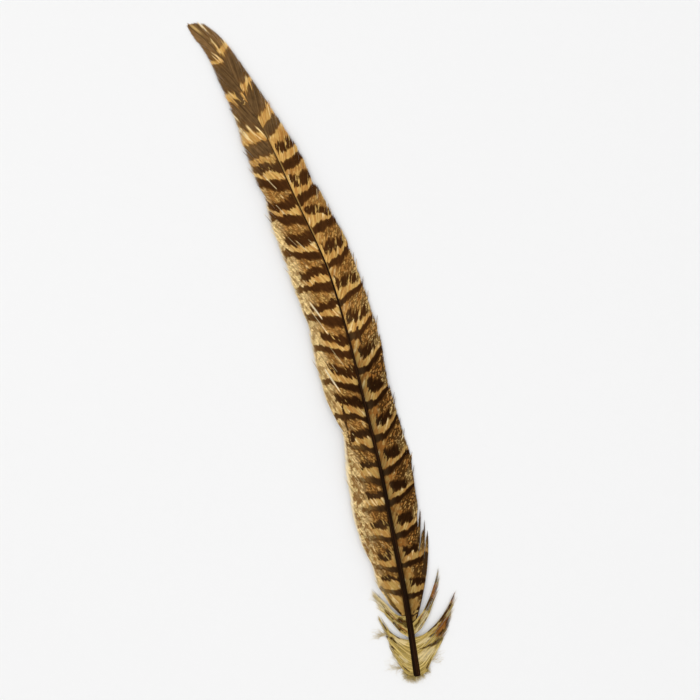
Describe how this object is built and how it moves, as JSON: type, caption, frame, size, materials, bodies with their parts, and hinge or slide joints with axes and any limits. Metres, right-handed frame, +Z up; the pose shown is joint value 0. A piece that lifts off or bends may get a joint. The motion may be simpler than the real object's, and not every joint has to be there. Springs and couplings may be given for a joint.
{
  "type": "pheasant tail feather",
  "caption": "Long barred brown and tan tail feather with a dark tapering shaft, two webs of barbs and loose tufts at the cut quill, lying on its hollow side.",
  "frame": {"origin": "on the resting surface, under the middle of the feather's box", "axes": "+Y along the feather from the cut quill to the tip, +X to the right as seen from above, +Z up from the surface it lies on"},
  "size_m": [0.0402, 0.2862, 0.0065],
  "materials": {
    "quill": "satin",
    "web": "matte",
    "tuft": "matte"
  },
  "bodies": {
    "root": {"shaft": "quill", "left_vane": "web", "right_vane": "web", "right_upper_tuft": "tuft", "right_lower_tuft": "tuft", "left_upper_tuft": "tuft", "left_lower_tuft": "tuft"}
  },
  "joints": []
}
